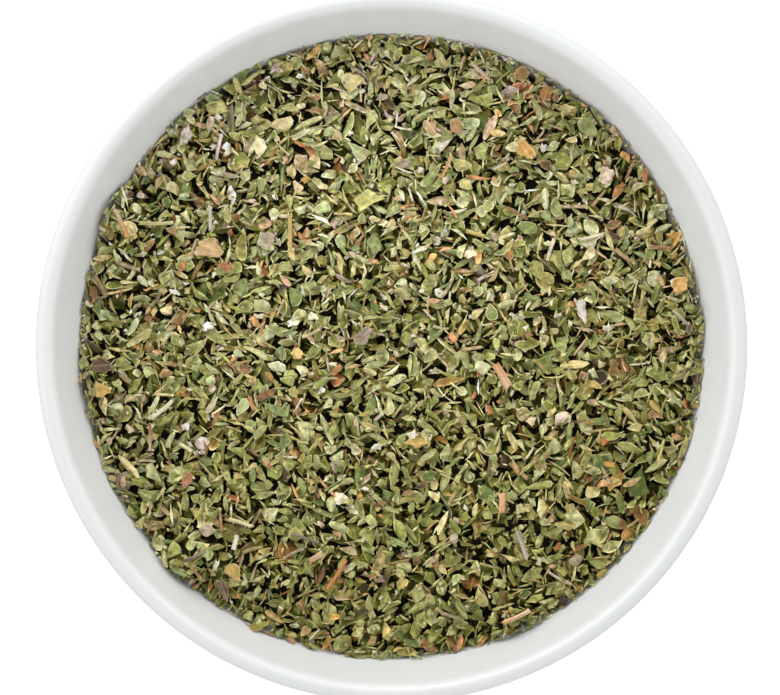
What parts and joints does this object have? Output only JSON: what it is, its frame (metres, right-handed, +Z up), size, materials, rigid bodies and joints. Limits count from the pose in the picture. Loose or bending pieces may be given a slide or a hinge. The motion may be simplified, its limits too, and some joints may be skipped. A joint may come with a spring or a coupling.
{
  "type": "bowl of dried oregano",
  "caption": "Round white porcelain bowl on a foot ring, filled with crushed dried oregano leaf, with loose pieces of stalk and dry leaf on top.",
  "frame": {"origin": "middle of the foot ring, on the surface that the bowl stands on", "axes": "+Z up along the bowl's axis, +Y towards the top of the picture, +X towards its right"},
  "size_m": [0.12, 0.12, 0.052],
  "materials": {
    "porcelain": "glossy white glaze",
    "oregano": "dull, dry, crumbled leaf, green to straw",
    "dry_leaf": "dull, dry leaf, tan to brown",
    "stalk": "dull, dry, fibrous stalk, straw to brown"
  },
  "bodies": {
    "root": {"bowl": "porcelain", "oregano_bed": "oregano", "dry_leaf_01": "dry_leaf", "dry_leaf_02": "dry_leaf", "dry_leaf_03": "dry_leaf", "dry_leaf_04": "dry_leaf", "dry_leaf_05": "dry_leaf", "dry_leaf_06": "dry_leaf", "dry_leaf_07": "dry_leaf", "dry_leaf_08": "dry_leaf", "dry_leaf_09": "dry_leaf", "dry_leaf_10": "dry_leaf", "dry_leaf_11": "dry_leaf", "dry_leaf_12": "dry_leaf", "dry_leaf_13": "dry_leaf", "dry_leaf_14": "dry_leaf", "dry_leaf_15": "dry_leaf", "dry_leaf_16": "dry_leaf", "dry_leaf_17": "dry_leaf", "dry_leaf_18": "dry_leaf", "dry_leaf_19": "dry_leaf", "dry_leaf_20": "dry_leaf", "stalk_01": "stalk", "stalk_02": "stalk", "stalk_03": "stalk", "stalk_04": "stalk", "stalk_05": "stalk", "stalk_06": "stalk", "stalk_07": "stalk", "stalk_08": "stalk", "stalk_09": "stalk", "stalk_10": "stalk", "stalk_11": "stalk", "stalk_12": "stalk", "stalk_13": "stalk", "stalk_14": "stalk", "stalk_15": "stalk", "stalk_16": "stalk", "stalk_17": "stalk", "stalk_18": "stalk", "stalk_19": "stalk", "stalk_20": "stalk"}
  },
  "joints": []
}
